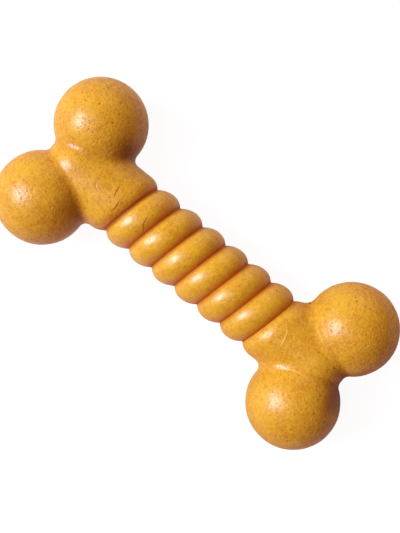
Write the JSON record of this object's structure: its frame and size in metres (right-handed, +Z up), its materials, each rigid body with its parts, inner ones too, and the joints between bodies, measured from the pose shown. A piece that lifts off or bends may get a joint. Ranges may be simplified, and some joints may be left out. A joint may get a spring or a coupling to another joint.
{
  "type": "bamboo chew bone",
  "caption": "Moulded bamboo-fibre dog chew bone: a round bar with slanted ribs around its middle and a pair of balls gripping each rounded end.",
  "frame": {"origin": "centre of the bone's plan, on the surface that its balls rest on", "axes": "+X along the bone towards its right end, +Y across it towards the back balls, +Z up"},
  "size_m": [0.152, 0.0686, 0.0344],
  "materials": {
    "rib_bamboo": "satin to semi-gloss moulded bamboo-fibre composite, the most polished part of the bone",
    "neck_bamboo": "satin moulded bamboo-fibre composite with fine moulding cracks",
    "ball_bamboo": "satin moulded bamboo-fibre composite with fine pits and dark fibre specks"
  },
  "bodies": {
    "root": {"rib_1": "rib_bamboo", "rib_2": "rib_bamboo", "rib_3": "rib_bamboo", "rib_4": "rib_bamboo", "rib_5": "rib_bamboo", "rib_6": "rib_bamboo", "left_neck": "neck_bamboo", "right_neck": "neck_bamboo", "left_front_ball": "ball_bamboo", "left_back_ball": "ball_bamboo", "right_front_ball": "ball_bamboo", "right_back_ball": "ball_bamboo"}
  },
  "joints": []
}
